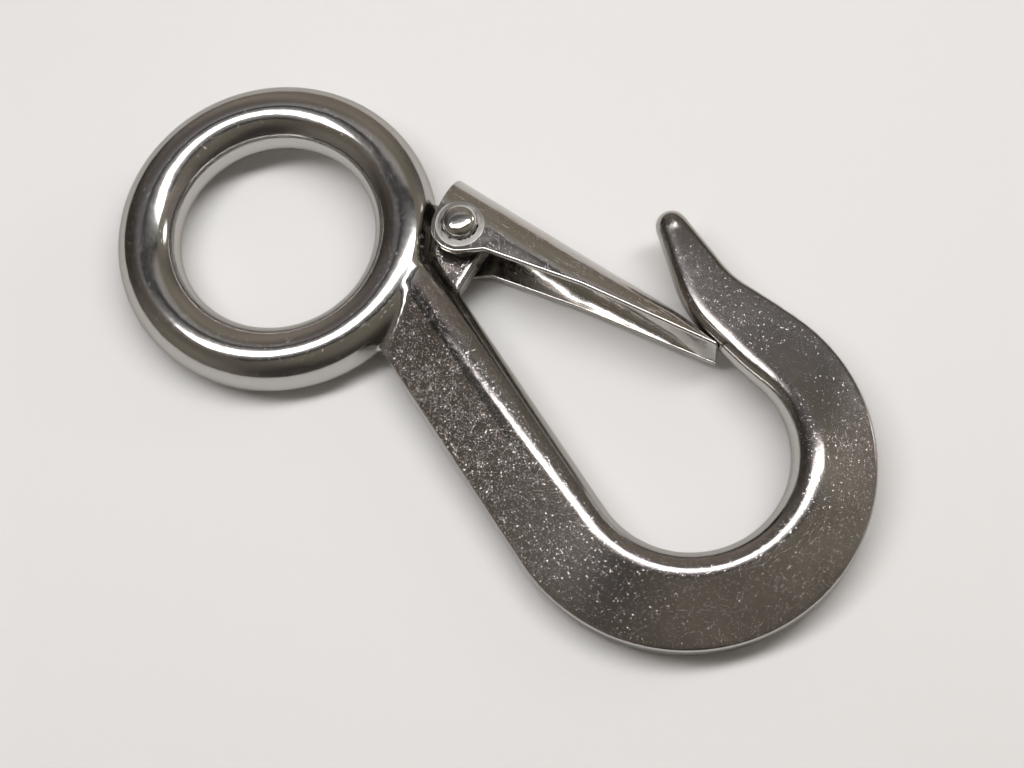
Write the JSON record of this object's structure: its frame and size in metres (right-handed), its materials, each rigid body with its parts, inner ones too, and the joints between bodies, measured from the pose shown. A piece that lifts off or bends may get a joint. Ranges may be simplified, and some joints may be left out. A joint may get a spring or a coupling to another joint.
{
  "type": "eye sling hook",
  "caption": "Forged eye sling hook with a leaning wedge-section shank, a round bowl, an outward point and a sprung folded-sheet safety latch.",
  "frame": {"origin": "centre of the eye, in the middle plane of the forging", "axes": "+X from the eye to the bowl along the line of pull, +Y to the latch side, +Z along the axis of the eye towards the rivet's domed head"},
  "size_m": [0.1215, 0.0603, 0.0149],
  "materials": {
    "forging": "tumbled stainless steel, satin faces with polished edges and eye",
    "latch_sheet": "polished stainless sheet",
    "rivet": "polished stainless steel",
    "spring_wire": "drawn stainless wire"
  },
  "bodies": {
    "hook": {"hook_body": "forging"},
    "latch": {"latch": "latch_sheet", "pivot_rivet": "rivet", "latch_spring": "spring_wire"}
  },
  "joints": [
    {"name": "latch_hinge", "type": "hinge", "parent": "hook", "child": "latch", "pos_m": [0.0249, 0.01312, 0], "axis": [0, 0, 1], "range_deg": [-35, 0], "stiffness_Nm_per_rad": 0.05, "springref_deg": 20.05, "deforming": ["latch_spring"]}
  ]
}
